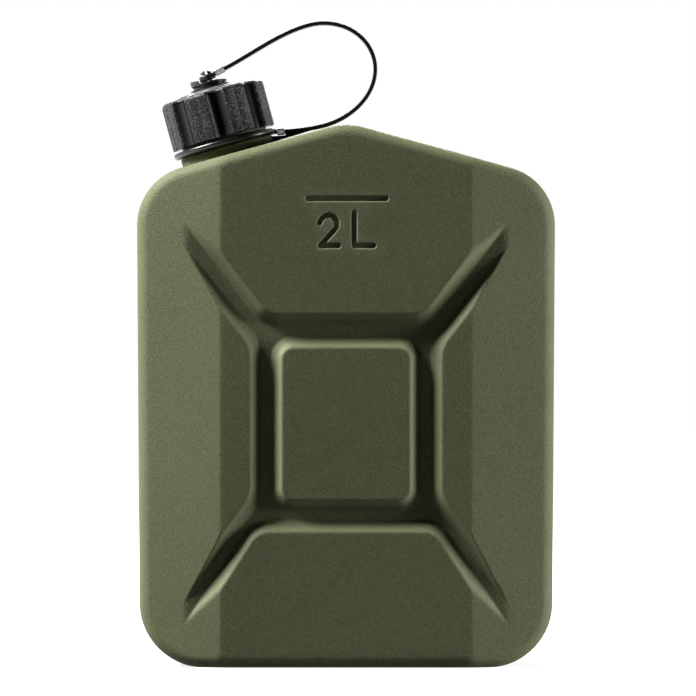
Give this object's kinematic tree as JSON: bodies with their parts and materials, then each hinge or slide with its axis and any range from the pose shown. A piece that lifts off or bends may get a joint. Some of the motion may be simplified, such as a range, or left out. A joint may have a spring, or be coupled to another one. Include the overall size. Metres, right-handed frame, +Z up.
{
  "type": "fuel can",
  "caption": "Small upright moulded fuel can with a pitched roof, an X-shaped recess round a raised pad front and back, and a lobed screw cap held by a looped strap.",
  "frame": {"origin": "middle of the base, on the surface the can stands on", "axes": "+Z up, +X to the right seen from the front with the neck on the left, front face towards -Y"},
  "size_m": [0.181, 0.066, 0.2795],
  "materials": {
    "olive_moulding": "fine-grained matte moulding",
    "black_moulding": "spark-eroded semi-gloss moulding",
    "seal_rubber": "smooth matt",
    "clip_steel": "bright crimped"
  },
  "bodies": {
    "can": {"can_body": "olive_moulding"},
    "seal": {"cap_seal": "seal_rubber"},
    "cap": {"cap_shell": "black_moulding", "cap_stud": "black_moulding"},
    "tether": {"tether_ring": "black_moulding", "ring_clip": "clip_steel", "tether_strap": "black_moulding"},
    "eyelet": {"tether_eyelet": "black_moulding", "eyelet_clip": "clip_steel", "swivel_collar": "black_moulding"}
  },
  "joints": [
    {"name": "cap_lift", "type": "slide", "parent": "can", "child": "seal", "axis": [-0.2622, 0, 0.965], "range_m": [0, 0.0181]},
    {"name": "cap_turn", "type": "hinge", "parent": "seal", "child": "cap", "pos_m": [-0.051, 0, 0.22074], "axis": [-0.2622, 0, 0.965], "range_deg": [0, 1620]},
    {"name": "tether_swivel", "type": "hinge", "parent": "can", "child": "tether", "pos_m": [-0.051, 0, 0.22074], "axis": [-0.2622, 0, 0.965], "continuous": true},
    {"name": "eyelet_lift", "type": "slide", "parent": "tether", "child": "eyelet", "axis": [-0.2622, 0, 0.965], "range_m": [0, 0.0181], "deforming": ["tether_strap"]}
  ],
  "couplings": [
    {"joint": "cap_lift", "follows": "cap_turn", "m_per_rad": 0.00063662},
    {"joint": "eyelet_lift", "follows": "cap_turn", "m_per_rad": 0.00063662}
  ]
}
